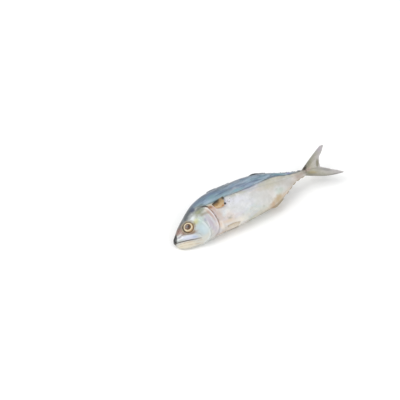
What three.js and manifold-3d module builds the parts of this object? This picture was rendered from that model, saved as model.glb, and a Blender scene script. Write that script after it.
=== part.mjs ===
// A whole mackerel, laid on its right side on a flat surface.
//
// Millimetres. The fish is shaped in its own frame: +X from the snout to the tail, +Y towards the
// back and +Z towards its left side. It is then rolled and pitched on to its right side, where the
// thick flank lies flat, so that +Z is up and the left side shows. The head, trunk and tail stalk
// are one solid, as they grew. The eyes and the fins are pieces of their own.
import * as THREE from "three";
import { mergeVertices } from "three/addons/utils/BufferGeometryUtils.js";
import Module from "manifold-3d";

const wasm = await Module();
wasm.setup();

// ---------------------------------------------------------------- driving dimensions

const stalkEnd = 205; // where the tail stalk ends, from the snout
const tailTip = 250; // where the tail's lobes end
const roll = THREE.MathUtils.degToRad(18); // the back is raised by this, because the belly is thinner
const pitch = THREE.MathUtils.degToRad(3); // the tail is raised by this, because the head is thinner
const restDepth = 1.4; // how much of the flank is pressed flat where it lies
const gap = 0.3; // between pieces that touch
const finThickness = 0.9;

const eyeCentre = { x: 23.9, y: 3.4 };
const eyeRadius = 7.4;
const eyeThickness = 4.6; // half of the eyeball's, across the head
const eyeBulge = 1.3; // how far the left eye stands proud of the skin
const pressedBulge = -0.3; // and the right one, which the head lies on, so it is pressed in

const gillSlit = 62; // the rear edge of the gill cover, from the snout

// Outlines along the fish: [distance from the snout, value].
const backOutline = profile([
  [0, 0.3], [6, 5.1], [14, 12], [28, 20.8], [48, 30.6], [72, 34.1], [96, 32.6],
  [124, 29.4], [150, 22.6], [172, 11.8], [190, 3.9], [200, 0.9], [206, 0.6],
]);
const bellyOutline = profile([
  [0, -8.5], [5, -14.2], [14, -18.4], [28, -21.3], [48, -22.2], [72, -23.4], [96, -25.2],
  [124, -25.6], [146, -24.3], [166, -17.4], [184, -9.9], [200, -8.2], [206, -7.5],
]);
const halfThickness = profile([
  [0, 2.6], [6, 5.4], [14, 8.4], [28, 12], [48, 15.6], [72, 18], [96, 18.4],
  [124, 17], [150, 13.2], [172, 8.4], [190, 4.6], [200, 3], [206, 0.9],
]);
// The limp head sags towards the surface that the fish lies on.
const headSag = profile([[0, -5], [14, -3.4], [30, -1.6], [50, -0.3], [70, 0], [210, 0]]);

const widestShare = 0.12; // how far above mid-depth the fish is thickest, of its half depth
const backRoundness = 2.1; // superellipse powers: 2 is round, less is more of a wedge
const bellyRoundness = 1.75;

// ---------------------------------------------------------------- helpers

// A smooth curve through a few points, as a function of the distance from the snout.
function profile(points) {
  const slope = points.map((_, i) => {
    const [x0, y0] = points[Math.max(i - 1, 0)];
    const [x1, y1] = points[Math.min(i + 1, points.length - 1)];
    return (y1 - y0) / (x1 - x0);
  });
  return (x) => {
    const last = points.length - 2;
    let i = 0;
    while (i < last && x > points[i + 1][0]) i += 1;
    const [x0, y0] = points[i];
    const [x1, y1] = points[i + 1];
    const span = x1 - x0;
    const t = THREE.MathUtils.clamp((x - x0) / span, 0, 1);
    const start = y0 * (1 + 2 * t) * (1 - t) ** 2 + slope[i] * span * t * (1 - t) ** 2;
    const end = y1 * t * t * (3 - 2 * t) + slope[i + 1] * span * t * t * (t - 1);
    return start + end;
  };
}

// Where the fish is thickest at x.
function widestAt(x) {
  const middle = (backOutline(x) + bellyOutline(x)) / 2;
  return middle + (widestShare * (backOutline(x) - bellyOutline(x))) / 2;
}

// A point on the skin. turn 0 is the left side, and it goes round by the back.
function skinPoint(x, turn) {
  const c = Math.cos(turn);
  const s = Math.sin(turn);
  const power = 2 / (s > 0 ? backRoundness : bellyRoundness);
  const reach = s > 0 ? backOutline(x) - widestAt(x) : widestAt(x) - bellyOutline(x);
  const y = widestAt(x) + reach * Math.sign(s) * Math.abs(s) ** power;
  const z = halfThickness(x) * Math.sign(c) * Math.abs(c) ** power;
  return new THREE.Vector3(x, y, z + headSag(x));
}

// How far the skin stands from the middle plane at (x, y).
function flankHeight(x, y) {
  const above = y > widestAt(x);
  const reach = above ? backOutline(x) - widestAt(x) : widestAt(x) - bellyOutline(x);
  const power = above ? backRoundness : bellyRoundness;
  const share = Math.min(Math.abs(y - widestAt(x)) / reach, 1);
  return halfThickness(x) * (1 - share ** power) ** (1 / power);
}

// The point of one flank at (x, y), and the direction out of the skin there. side 1 is the left.
function onFlank(side, x, y) {
  const height = flankHeight(x, y);
  const step = 0.1;
  const point = new THREE.Vector3(x, y, side * height + headSag(x));
  const across = new THREE.Vector3(
    (height - flankHeight(x + step, y)) / step,
    (height - flankHeight(x, y + step)) / step,
    1,
  );
  across.z *= side;
  return { point, across: across.normalize() };
}

// A closed geometry from rings of points, each ring with as many points as the others.
function loft(rings) {
  const count = rings[0].length;
  const centre = (ring) =>
    ring.reduce((sum, p) => sum.add(p), new THREE.Vector3()).divideScalar(ring.length);
  const points = [...rings.flat(), centre(rings[0]), centre(rings.at(-1))];
  const index = [];
  for (let i = 0; i < rings.length - 1; i += 1) {
    for (let j = 0; j < count; j += 1) {
      const a = i * count + j;
      const b = i * count + ((j + 1) % count);
      index.push(a, b, a + count, b, b + count, a + count);
    }
  }
  const lastRing = (rings.length - 1) * count;
  for (let j = 0; j < count; j += 1) {
    const next = (j + 1) % count;
    index.push(next, j, points.length - 2);
    index.push(lastRing + j, lastRing + next, points.length - 1);
  }
  return new THREE.BufferGeometry().setFromPoints(points).setIndex(index);
}

// A thin closed plate about surface(u, v), which gives a point and the direction across the plate
// there. u runs from the fin's root to its edge, along its rays, and v from one ray to the next.
function finPlate({ surface, rays, steps, thickness = finThickness }) {
  const rings = [];
  for (let j = 0; j <= rays; j += 1) {
    const side = (sign) =>
      Array.from({ length: steps + 1 }, (_, i) => {
        const { point, across } = surface(i / steps, j / rays);
        return point.addScaledVector(across, (sign * thickness) / 2);
      });
    rings.push([...side(1), ...side(-1).reverse()]);
  }
  return loft(rings);
}

// A surface on the middle plane of the fish between two curves that give [x, y].
function onMiddlePlane(root, edge) {
  return (u, v) => {
    const [rx, ry] = root(v);
    const [ex, ey] = edge(v);
    const x = rx + (ex - rx) * u;
    return {
      point: new THREE.Vector3(x, ry + (ey - ry) * u, headSag(x)),
      across: new THREE.Vector3(0, 0, 1),
    };
  };
}

// Turns a geometry round if its faces point inwards.
function facingOut(geometry) {
  const p = geometry.getAttribute("position");
  const at = (i) => new THREE.Vector3().fromBufferAttribute(p, geometry.index.getX(i));
  let volume = 0;
  for (let i = 0; i < geometry.index.count; i += 3) {
    volume += at(i).dot(at(i + 1).cross(at(i + 2)));
  }
  if (volume < 0) {
    const turned = Array.from(geometry.index.array);
    for (let i = 0; i < turned.length; i += 3) {
      [turned[i + 1], turned[i + 2]] = [turned[i + 2], turned[i + 1]];
    }
    geometry.setIndex(turned);
  }
  return geometry;
}

function toSolid(geometry) {
  const bare = geometry.clone();
  bare.deleteAttribute("normal");
  bare.deleteAttribute("uv");
  const merged = mergeVertices(bare);
  return new wasm.Manifold(
    new wasm.Mesh({
      numProp: 3,
      vertProperties: merged.getAttribute("position").array,
      triVerts: new Uint32Array(merged.index.array),
    }),
  );
}

function fromSolid(solid) {
  const { vertProperties, triVerts } = solid.getMesh();
  const geometry = new THREE.BufferGeometry();
  geometry.setAttribute("position", new THREE.BufferAttribute(vertProperties, 3));
  geometry.setIndex(new THREE.BufferAttribute(triVerts, 1));
  geometry.computeVertexNormals();
  return geometry;
}

// ---------------------------------------------------------------- materials

const skin = new THREE.MeshStandardMaterial({ color: 0xb9c0c4, roughness: 0.35, metalness: 0.3 });
const eyeMaterial = new THREE.MeshStandardMaterial({ color: 0xe6dfc4, roughness: 0.15 });
const tailMaterial = new THREE.MeshStandardMaterial({ color: 0xa8a693, roughness: 0.5 });
const backFin = new THREE.MeshStandardMaterial({ color: 0x5d6a72, roughness: 0.5 });
const bellyFin = new THREE.MeshStandardMaterial({ color: 0xc9ad7c, roughness: 0.5 });
const pectoralMaterial = new THREE.MeshStandardMaterial({ color: 0x9a7446, roughness: 0.5 });

// ---------------------------------------------------------------- the fish and its pieces

const fish = new THREE.Group();
fish.rotation.set(roll, -pitch, 0);

function addPiece(name, geometry, material) {
  const mesh = new THREE.Mesh(facingOut(geometry), material);
  mesh.name = name;
  fish.add(mesh);
  return mesh;
}

// ---------------------------------------------------------------- head, trunk and tail stalk

const skinRings = 54;
const ringPoints = 38;

function bodyGeometry() {
  const rings = [];
  for (let i = 0; i <= skinRings; i += 1) {
    const t = i / skinRings;
    const x = stalkEnd * (0.35 * t * t + 0.65 * t); // the rings are closer at the blunt snout
    const ring = [];
    for (let j = 0; j < ringPoints; j += 1) {
      ring.push(skinPoint(x, (j / ringPoints) * 2 * Math.PI));
    }
    rings.push(ring);
  }
  return facingOut(loft(rings));
}

// Lifts the fish until only restDepth of its flank would be under the surface that it lies on.
function liftOntoSurface(geometry) {
  fish.updateMatrixWorld(true);
  const lowest = new THREE.Box3().setFromBufferAttribute(
    geometry.clone().applyMatrix4(fish.matrixWorld).getAttribute("position"),
  ).min.z;
  fish.position.z = -lowest - restDepth;
  fish.updateMatrixWorld(true);
}

// The space under the surface, in the fish's own frame.
function underSurface() {
  const depth = 30;
  return new THREE.BoxGeometry(2 * tailTip, tailTip, depth)
    .translate(0, 0, -depth / 2)
    .applyMatrix4(fish.matrixWorld.clone().invert());
}

// ---------------------------------------------------------------- eyes

// clearance grows the eye into its socket.
function eyeball(side, clearance) {
  const { point, across } = onFlank(side, eyeCentre.x, eyeCentre.y);
  const bulge = side > 0 ? eyeBulge : pressedBulge;
  const centre = point.addScaledVector(across, bulge - eyeThickness);
  const radius = eyeRadius + clearance;
  return new THREE.SphereGeometry(1, 24, 14)
    .rotateX(Math.PI / 2)
    .scale(radius, radius, eyeThickness + clearance)
    .applyQuaternion(new THREE.Quaternion().setFromUnitVectors(new THREE.Vector3(0, 0, 1), across))
    .translate(centre.x, centre.y, centre.z);
}

// ---------------------------------------------------------------- paired fins

const skinGap = 0.4; // the skin between two rings of the body is flat, so this is more than gap
const pressedIn = restDepth + finThickness / 2 + 0.15; // how far the right pectoral is sunk
const pectoralFin = {
  rootTop: [gillSlit + 2.2, 13],
  rootBottom: [gillSlit + 4.6, 5],
  edgeTop: [84, 14.5],
  edgeBottom: [77, 3],
  rays: 7,
  steps: 7,
};
const pelvicFin = {
  rootTop: [69.5, -19.6],
  rootBottom: [70.5, -21.8],
  edgeTop: [89, -22.2],
  edgeBottom: [86, -23.6],
  rays: 3,
  steps: 7,
};
const lift = 0.9; // how far a free fin's edge stands off the skin

// A fin folded back along one flank. out(u) is how far its middle is from the skin, and margin
// makes its outline larger all round.
function pairedFin(side, fin, out, thickness = finThickness, margin = 0) {
  const { rootTop, rootBottom, edgeTop, edgeBottom, rays, steps } = fin;
  const surface = (u, v) => {
    const rootX = THREE.MathUtils.lerp(rootTop[0], rootBottom[0], v) - margin;
    const edgeX = THREE.MathUtils.lerp(edgeTop[0], edgeBottom[0], v) + margin;
    const rootY = THREE.MathUtils.lerp(rootTop[1], rootBottom[1], v);
    const edgeY = THREE.MathUtils.lerp(edgeTop[1], edgeBottom[1], v);
    const x = THREE.MathUtils.lerp(rootX, edgeX, u);
    const y = THREE.MathUtils.lerp(rootY, edgeY, u) + margin * (1 - 2 * v);
    const { point, across } = onFlank(side, x, y);
    return { point: point.addScaledVector(across, out(u)), across };
  };
  return finPlate({ surface, rays, steps, thickness });
}

const onSkin = skinGap + finThickness / 2;

// The fish lies on its right pectoral fin, which is pressed into the soft flank. The space for it
// is open towards the surface.
function pectoralPocket() {
  const depth = 8;
  const inner = -pressedIn - finThickness / 2 - gap;
  return pairedFin(-1, pectoralFin, () => inner + depth / 2, depth, 2 * gap);
}

const body = bodyGeometry();
liftOntoSurface(body);
let bodySolid = toSolid(body).subtract(toSolid(underSurface()));
bodySolid = bodySolid.subtract(toSolid(facingOut(pectoralPocket())));
for (const side of [1, -1]) {
  bodySolid = bodySolid.subtract(toSolid(eyeball(side, gap)));
}
addPiece("body", fromSolid(bodySolid), skin);
addPiece("left_eye", eyeball(1, 0), eyeMaterial);
addPiece("right_eye", eyeball(-1, 0), eyeMaterial);
addPiece(
  "left_pectoral_fin",
  pairedFin(1, pectoralFin, (u) => onSkin + lift * u * u),
  pectoralMaterial,
);
addPiece("right_pectoral_fin", pairedFin(-1, pectoralFin, () => -pressedIn), pectoralMaterial);
addPiece("left_pelvic_fin", pairedFin(1, pelvicFin, () => onSkin), bellyFin);
addPiece("right_pelvic_fin", pairedFin(-1, pelvicFin, () => onSkin), bellyFin);

// ---------------------------------------------------------------- fins on the middle plane

// A fin on the back (side 1) or the belly (side -1) from x = start to end. Its rays lean back by
// lean at the front and leanRear at the rear, and front and rear are its heights there.
function ridgeFin(side, { start, end, front, rear, lean, leanRear = lean, rays }) {
  const outline = side > 0 ? backOutline : bellyOutline;
  const along = (v) => start + (end - start) * v;
  const root = (v) => [along(v), outline(along(v)) + side * gap];
  const edge = (v) => {
    const x = along(v) + lean + (leanRear - lean) * v;
    return [x, outline(x) + side * (gap + front + (rear - front) * v)];
  };
  return finPlate({ surface: onMiddlePlane(root, edge), rays, steps: 2 });
}

// All of them are folded back, as they lie on a fish out of water.
const foldedFin = { start: 70, end: 103, front: 1.6, rear: 0.9, lean: 4, rays: 12 };
const secondFin = {
  start: 131, end: 153, front: 2.6, rear: 0.9, lean: 10, leanRear: 4, rays: 10,
};
const analFin = {
  start: 134, end: 155, front: 2.2, rear: 0.9, lean: 8, leanRear: 4, rays: 10,
};
addPiece("first_dorsal_fin", ridgeFin(1, foldedFin), backFin);
addPiece("second_dorsal_fin", ridgeFin(1, secondFin), backFin);
addPiece("anal_fin", ridgeFin(-1, analFin), bellyFin);

const finlets = 5;
const firstFinlet = 164;
const finletPitch = 7.4;
const finletLength = 4;
for (let i = 0; i < finlets; i += 1) {
  const start = firstFinlet + i * finletPitch;
  const finlet = { start, end: start + finletLength, front: 1.1, rear: 0.4, lean: 2.6, rays: 3 };
  addPiece(`dorsal_finlet_${i + 1}`, ridgeFin(1, finlet), backFin);
  addPiece(`anal_finlet_${i + 1}`, ridgeFin(-1, finlet), bellyFin);
}

// ---------------------------------------------------------------- tail fin

// The fin's root wraps the end of the stalk, because its first rays start a little further forward.
const wrapStart = 201;
const wrapShare = 0.12; // of the rays at each side
const tailThickness = 1.1;
const upperBow = 0.5; // how far each lobe's leading edge bows out
const lowerBow = 3.1;
const fork = new THREE.Vector2(226.4, -7.2);
const upperEdge = new THREE.SplineCurve([
  new THREE.Vector2(244, 19.2), new THREE.Vector2(247.8, 17.2), new THREE.Vector2(242, 11.6),
  new THREE.Vector2(233.4, 5.6), new THREE.Vector2(229.4, -0.6), fork,
]);
const lowerEdge = new THREE.SplineCurve([
  fork, new THREE.Vector2(232.6, -12.9), new THREE.Vector2(239, -18.6),
  new THREE.Vector2(245.4, -24), new THREE.Vector2(tailTip, -28.6),
  new THREE.Vector2(tailTip - 0.8, -29.4),
]);

function tailRoot(v) {
  const side = v < 0.5 ? 1 : -1;
  const fromSide = side > 0 ? v : 1 - v;
  const end = stalkEnd + gap;
  const outline = side > 0 ? backOutline : bellyOutline;
  if (fromSide < wrapShare) {
    const x = wrapStart + ((end - wrapStart) * fromSide) / wrapShare;
    return [x, outline(x) + side * gap];
  }
  const down = (v - wrapShare) / (1 - 2 * wrapShare);
  return [end, THREE.MathUtils.lerp(backOutline(end) + gap, bellyOutline(end) - gap, down)];
}

function tailEdge(v) {
  const { x, y } = v < 0.5 ? upperEdge.getPoint(2 * v) : lowerEdge.getPoint(2 * v - 1);
  return [x, y];
}

const flatTail = onMiddlePlane(tailRoot, tailEdge);
function bowedTail(u, v) {
  const { point, across } = flatTail(u, v);
  const bow = v < 0.5 ? upperBow : lowerBow;
  point.y += bow * Math.sin(Math.PI * u) * (1 - 2 * v);
  return { point, across };
}
addPiece(
  "tail_fin",
  finPlate({ surface: bowedTail, rays: 34, steps: 6, thickness: tailThickness }),
  tailMaterial,
);

// ---------------------------------------------------------------- the part's frame

// The origin is under the middle of the fish, on the surface that it lies on.
const mackerel = new THREE.Group();
mackerel.add(fish);
const extent = new THREE.Box3().setFromObject(mackerel, true);
mackerel.position.x = -(extent.min.x + extent.max.x) / 2;
mackerel.position.y = -(extent.min.y + extent.max.y) / 2;

export default mackerel;
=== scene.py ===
# %% [markdown]
# # A whole mackerel
# The fish lies on its right side, as on a fishmonger's tray. Its solids, from CAD, come in as a
# fixed frame. Each of them is then replaced by a finer mesh of the same size in the same place.
# The solids could also be kept and only painted, but the mouth, the gill covers, the fin rays and
# the lids round the eyes are real shapes on a fish, so they are made as shapes here.

# %% The frame
import math

import bpy
import numpy as np
from mathutils import Matrix, Vector


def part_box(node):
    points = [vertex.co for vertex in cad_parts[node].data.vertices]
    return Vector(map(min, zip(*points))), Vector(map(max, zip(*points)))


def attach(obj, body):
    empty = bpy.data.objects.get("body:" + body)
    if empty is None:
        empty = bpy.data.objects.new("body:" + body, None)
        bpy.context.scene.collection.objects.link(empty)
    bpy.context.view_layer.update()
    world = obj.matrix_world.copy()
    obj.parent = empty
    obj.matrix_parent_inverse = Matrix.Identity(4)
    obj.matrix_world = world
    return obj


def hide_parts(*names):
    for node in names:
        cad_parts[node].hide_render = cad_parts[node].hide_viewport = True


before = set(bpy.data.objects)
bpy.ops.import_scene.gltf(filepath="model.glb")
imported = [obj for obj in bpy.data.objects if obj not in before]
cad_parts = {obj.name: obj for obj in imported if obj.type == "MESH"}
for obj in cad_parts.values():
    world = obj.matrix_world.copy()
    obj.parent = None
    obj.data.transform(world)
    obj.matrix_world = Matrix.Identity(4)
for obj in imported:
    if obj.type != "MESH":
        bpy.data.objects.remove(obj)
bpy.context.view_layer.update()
print("solids in the frame:", len(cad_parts))

# %% [markdown]
# ## Outlines
# A fish's body is a smooth tube whose depth and thickness change from the snout to the tail. A
# few measurements at chosen distances from the snout describe it, as a boat builder's table of
# offsets describes a hull. A smooth curve through each row of measurements fills in the rest.
# Everything is in millimetres in the fish's own frame: x from the snout to the tail, y towards
# the back and z towards its left side.

# %% A smooth curve through a few points
def together(*parts):
    """Arrays that fit each other, as the parts of one array of vectors."""
    return np.stack(np.broadcast_arrays(*parts), -1)


def curve(*points):
    px, py = np.array(points, float).T
    ahead = np.minimum(np.arange(len(px)) + 1, len(px) - 1)
    behind = np.maximum(np.arange(len(px)) - 1, 0)
    slope = (py[ahead] - py[behind]) / (px[ahead] - px[behind])

    def value(x):
        x = np.asarray(x, float)
        i = np.clip(np.searchsorted(px, x) - 1, 0, len(px) - 2)
        span = px[i + 1] - px[i]
        t = np.clip((x - px[i]) / span, 0, 1)
        start = py[i] * (1 + 2 * t) * (1 - t) ** 2 + slope[i] * span * t * (1 - t) ** 2
        end = py[i + 1] * t * t * (3 - 2 * t) + slope[i + 1] * span * t * t * (t - 1)
        return start + end

    return value


# %% The outlines of this fish
STALK_END = 205.0
back_outline = curve(
    (0, 0.3), (6, 5.1), (14, 12), (28, 20.8), (48, 30.6), (72, 34.1), (96, 32.6),
    (124, 29.4), (150, 22.6), (172, 11.8), (190, 3.9), (200, 0.9), (206, 0.6))
belly_outline = curve(
    (0, -8.5), (5, -14.2), (14, -18.4), (28, -21.3), (48, -22.2), (72, -23.4), (96, -25.2),
    (124, -25.6), (146, -24.3), (166, -17.4), (184, -9.9), (200, -8.2), (206, -7.5))
half_thickness = curve(
    (0, 2.6), (6, 5.4), (14, 8.4), (28, 12), (48, 15.6), (72, 18), (96, 18.4),
    (124, 17), (150, 13.2), (172, 8.4), (190, 4.6), (200, 3), (206, 0.9))
head_sag = curve((0, -5), (14, -3.4), (30, -1.6), (50, -0.3), (70, 0), (210, 0))
print("depth and thickness at 80 mm:",
      round(float(back_outline(80) - belly_outline(80)), 1),
      round(float(2 * half_thickness(80)), 1))

# %% [markdown]
# ## The skin as a surface
# Across the fish the section is an egg: round towards the back and more of a wedge towards the
# belly. A superellipse with one power above the widest point and another below it gives both.
# The same function gives a point for any distance and turn, so the body, the fins that lie on
# the flank and the eyes all agree about where the skin is.

# %% A point of the skin
BACK_ROUNDNESS, BELLY_ROUNDNESS, WIDEST_SHARE = 2.1, 1.75, 0.12


def widest_at(x):
    middle = (back_outline(x) + belly_outline(x)) / 2
    return middle + WIDEST_SHARE * (back_outline(x) - belly_outline(x)) / 2


def skin_point(x, turn):
    """turn 0 is the left side, and it goes round by the back."""
    c, s = np.cos(turn), np.sin(turn)
    power = 2 / np.where(s > 0, BACK_ROUNDNESS, BELLY_ROUNDNESS)
    wide = widest_at(x)
    reach = np.where(s > 0, back_outline(x) - wide, wide - belly_outline(x))
    y = wide + reach * np.sign(s) * np.abs(s) ** power
    z = half_thickness(x) * np.sign(c) * np.abs(c) ** power
    return together(x, y, z)


def flank_height(x, y):
    """How far the skin stands from the fish's middle plane."""
    wide = widest_at(x)
    above = y > wide
    reach = np.where(above, back_outline(x) - wide, wide - belly_outline(x))
    power = np.where(above, BACK_ROUNDNESS, BELLY_ROUNDNESS)
    share = np.minimum(np.abs(y - wide) / reach, 1)
    return half_thickness(x) * (1 - share ** power) ** (1 / power)


# %% A point on one flank and the way out of the skin there
def on_flank(side, x, y):
    step = 0.1
    height = flank_height(x, y)
    out = together((height - flank_height(x + step, y)) / step,
                   (height - flank_height(x, y + step)) / step, side)
    out = out / np.linalg.norm(out, axis=-1, keepdims=True)
    return together(x, y, side * height + head_sag(x)), out


# %% [markdown]
# ## From the fish's frame to the table
# The fish is rolled until its thick right flank lies flat, and pitched a little because its head
# is thinner than its trunk. The place comes from the solids themselves: the highest point and
# the two ends of the body's box say where the turned fish belongs.

# %% The turn and the place
ROLL, PITCH = math.radians(18), math.radians(3)
turn_to_table = np.array(Matrix.Rotation(ROLL, 3, "X") @ Matrix.Rotation(-PITCH, 3, "Y"))


def coarse_body():
    x = np.linspace(0, STALK_END, 200)[:, None]
    p = skin_point(x, np.linspace(0, 2 * math.pi, 200)[None, :])
    p[..., 2] += head_sag(x)
    return (p @ turn_to_table.T).reshape(-1, 3)


low, high = (1000 * np.array(corner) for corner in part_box("body"))
turned = coarse_body()
place = np.array([
    (low[0] + high[0] - turned[:, 0].min() - turned[:, 0].max()) / 2,
    (low[1] + high[1] - turned[:, 1].min() - turned[:, 1].max()) / 2,
    high[2] - turned[:, 2].max()])
print("place of the fish's frame, mm:", place.round(2))


def to_table(points):
    """Fish's frame in millimetres to the row's frame in metres."""
    return (np.asarray(points) @ turn_to_table.T + place) / 1000


# %% [markdown]
# ## Lines drawn on the flank
# The mouth, the edge of the gill cover and the cheek are lines on the head. Each is a smooth line
# through a few points of (x, y). What a shape or a colour needs to know is how far it is from the
# line, and on which side, so that distance is measured once for every point of the skin. Edges
# could also be cut into the mesh by hand, but a distance gives a groove, a raised plate and a
# painted margin from the same line.

# %% Distance to a line
def smooth_line(points, steps=10):
    p = np.array(points, float)
    at = np.arange(len(p))
    fine = np.linspace(0, len(p) - 1, (len(p) - 1) * steps + 1)
    return np.stack([curve(*zip(at, p[:, k]))(fine) for k in (0, 1)], -1)


def distance_to(points, x, y):
    """Distance in millimetres, above 0 on the left of the line as it is drawn."""
    line = smooth_line(points)
    best = np.full(np.shape(x), 1e9)
    side = np.zeros(np.shape(x))
    for (ax, ay), (bx, by) in zip(line[:-1], line[1:]):
        dx, dy = bx - ax, by - ay
        share = np.clip(((x - ax) * dx + (y - ay) * dy) / (dx * dx + dy * dy), 0, 1)
        away = np.hypot(x - ax - share * dx, y - ay - share * dy)
        nearer = away < best
        best = np.where(nearer, away, best)
        side = np.where(nearer, np.sign(dx * (y - ay) - dy * (x - ax)), side)
    return best * side


# %% The lines of the head and flank
EYE = (23.9, 3.4)
EYE_RADIUS = 7.4
LINES = {
    # from the chin tip back and down to the corner of the jaw; above it is the upper jaw
    "mouth": [(-2, -4.2), (3, -5.4), (9, -7.8), (16, -10.4), (22, -12.8), (27, -14.6), (32, -16)],
    # the upper edge of the long upper jaw bone
    "jaw": [(4, -0.6), (9, -1.2), (14, -2), (20, -5), (27, -7.6), (31.5, -10.6), (33, -14.5)],
    # the rear edge of the cheek, upwards from the throat
    "cheek": [(34, -22), (41, -20.6), (45, -17), (45.6, -10.5), (44.2, -3), (41, 4), (37, 9)],
    # the rear edge of the gill cover, upwards from under the throat
    "gill": [(38, -22.6), (48, -21.6), (55.6, -19), (59.2, -14), (60, -7), (59.6, 2), (58, 9.8),
             (55.5, 15), (51, 17.8)],
    # the seam between the gill cover's two plates
    "plate": [(52.5, -17), (54.6, -11.5), (55, -6), (53.4, -0.6), (50.4, 4), (46.6, 7.4)],
    # where the head's bare skin ends and the scales of the back begin
    "nape": [(58, 14), (54.7, 19.5), (50, 24.7), (44.5, 28.5)],
    # the lateral line
    "lateral": [(60, 15), (72, 14.4), (88, 12), (110, 8.4), (135, 3.6), (160, -0.6), (185, -2.6),
                (204, -3.2)],
    # the lower edge of the blue of the back
    "blue": [(34, 22), (48, 20), (57, 16.6), (65, 14.8), (74, 14.4), (82, 13.8), (90, 12.8),
             (100, 11.2), (112, 10), (124, 9), (136, 8.8), (148, 9), (158, 8), (168, 5.4),
             (180, 2), (192, -0.6), (204, -1.8)],
}
print("lines:", ", ".join(LINES))

# %% [markdown]
# ## The body
# Rings of points run from the snout to the tail, closer together on the head, where the small
# shapes are. A bell is a smooth bump, and a step is a smooth rise: the two of them, given a
# distance to a line, make every groove and plate on the head.

# %% Rings of the body
HEAD_END, HEAD_STEP, TRUNK_STEP, AROUND = 66.0, 0.5, 1.0, 216
NOSE_ROUND = 2.0
STALK_THINS, STALK_THINS_AT, STALK_THINS_OVER = 0.55, 203.2, 3.6


def step_at(d, width):
    t = np.clip(d / width + 0.5, 0, 1)
    return t * t * (3 - 2 * t)


def bell(d, width):
    return np.exp(-(d / width) ** 2)


ring_x = np.concatenate([
    NOSE_ROUND * (1 - np.cos(np.linspace(0.12, math.pi / 2, 8)[:-1])),
    np.arange(NOSE_ROUND, HEAD_END, HEAD_STEP),
    np.linspace(HEAD_END, STALK_END, int((STALK_END - HEAD_END) / TRUNK_STEP))])[:, None]
# the first point is on the belly's ridge, so that the seam of the map is out of sight
turns = (np.arange(AROUND) / AROUND * 2 * math.pi - math.pi / 2)[None, :]
body_points = skin_point(ring_x, turns)
nose = np.sqrt(1 - np.clip(1 - ring_x / NOSE_ROUND, 0, 1) ** 2)
middle = (back_outline(ring_x) + belly_outline(ring_x)) / 2
body_points[..., 1] = middle + (body_points[..., 1] - middle) * nose
# the stalk thins out under the root of the tail fin
body_points[..., 2] *= nose * (
    1 - STALK_THINS * step_at(ring_x - STALK_THINS_AT, STALK_THINS_OVER))
flat_x, flat_y = body_points[..., 0], body_points[..., 1].copy()
away = {name: distance_to(points, flat_x, flat_y) for name, points in LINES.items()}
print("body rings and points around:", len(ring_x), AROUND)

# %% [markdown]
# ## Shapes on the head
# The upper jaw is a long plate over the lower lip. The cheek and the gill cover are thin bony
# plates: each ends in an edge that stands above what lies behind it, and the slit behind the
# gill cover is the deepest line on the head. The skin makes a soft lid round the eye.

# %% How far each shape moves the skin outwards, in millimetres
NOSTRIL = (13.2, 8.4)


def relief():
    d = away
    front = step_at(30.5 - flat_x, 5)
    under_eye_level = step_at(5.5 - flat_y, 6)
    under_shoulder = step_at(16.5 - flat_y, 5)
    past_snout = step_at(flat_x - 5.5, 4)
    # the crease of the mouth, the lip above it and the lower jaw, which is set in
    rise = -0.9 * bell(d["mouth"], 0.75) * front
    rise += 0.55 * bell(d["mouth"] - 2.2, 1.9) * front
    rise -= 0.5 * step_at(-d["mouth"], 1.5) * bell(d["mouth"], 5) * front
    # the groove over the upper jaw bone, and the bone
    rise -= 0.35 * bell(d["jaw"], 0.7) * step_at(35 - flat_x, 4) * past_snout
    rise += 0.3 * bell(d["jaw"] + 2.4, 2.2) * front * past_snout
    # the edge of the gill cover and the slit behind it
    rise += 0.8 * step_at(d["gill"], 0.9) * bell(d["gill"], 8) * under_shoulder
    rise -= 1.1 * bell(d["gill"] + 0.9, 0.9) * under_shoulder
    # the edge of the cheek and the groove behind it
    rise += 0.32 * step_at(d["cheek"], 1.2) * bell(d["cheek"], 6) * under_eye_level
    rise -= 0.2 * bell(d["cheek"] + 0.9, 1.0) * under_eye_level
    # the seam of the gill cover and the lateral line
    rise -= 0.12 * bell(d["plate"], 1.0)
    rise -= 0.14 * bell(d["lateral"], 0.6) * step_at(flat_x - 64, 6)
    return rise


def eye_relief():
    r = np.hypot(flat_x - EYE[0], flat_y - EYE[1])
    lid = 0.55 * bell(r - EYE_RADIUS - 0.9, 1.1)
    socket = -2.2 * step_at(EYE_RADIUS - 0.3 - r, 1.2)
    nostril = np.hypot((flat_x - NOSTRIL[0]) / 1.2, flat_y - NOSTRIL[1])
    return lid + socket - 0.8 * bell(nostril, 0.8) + 0.25 * bell(nostril - 1.3, 0.6)


def soft_waves():
    """The slight unevenness of limp flesh, with rows of muscle showing on the rear flank."""
    slow = np.sin(flat_x * 0.11 + 0.6) * np.sin(flat_y * 0.16 + flat_x * 0.03)
    rows = np.sin((flat_x + 0.9 * np.abs(flat_y - 2)) * 0.62) * step_at(flat_x - 110, 40)
    return 0.16 * slow + 0.05 * rows


def keels():
    """Two short ridges on each side of the tail stalk."""
    level = (flat_y + 3.0) / 1.5
    on_stalk = step_at(flat_x - 197, 8) * step_at(STALK_END - 0.5 - flat_x, 2)
    return 0.7 * bell(np.abs(level) - 1, 0.5) * on_stalk


# %% Moving the skin
def out_of(grid):
    along = np.gradient(grid, axis=0)
    round_it = np.roll(grid, -1, 1) - np.roll(grid, 1, 1)
    normal = np.cross(along, round_it)
    return normal / np.maximum(np.linalg.norm(normal, axis=-1, keepdims=True), 1e-9)


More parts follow.
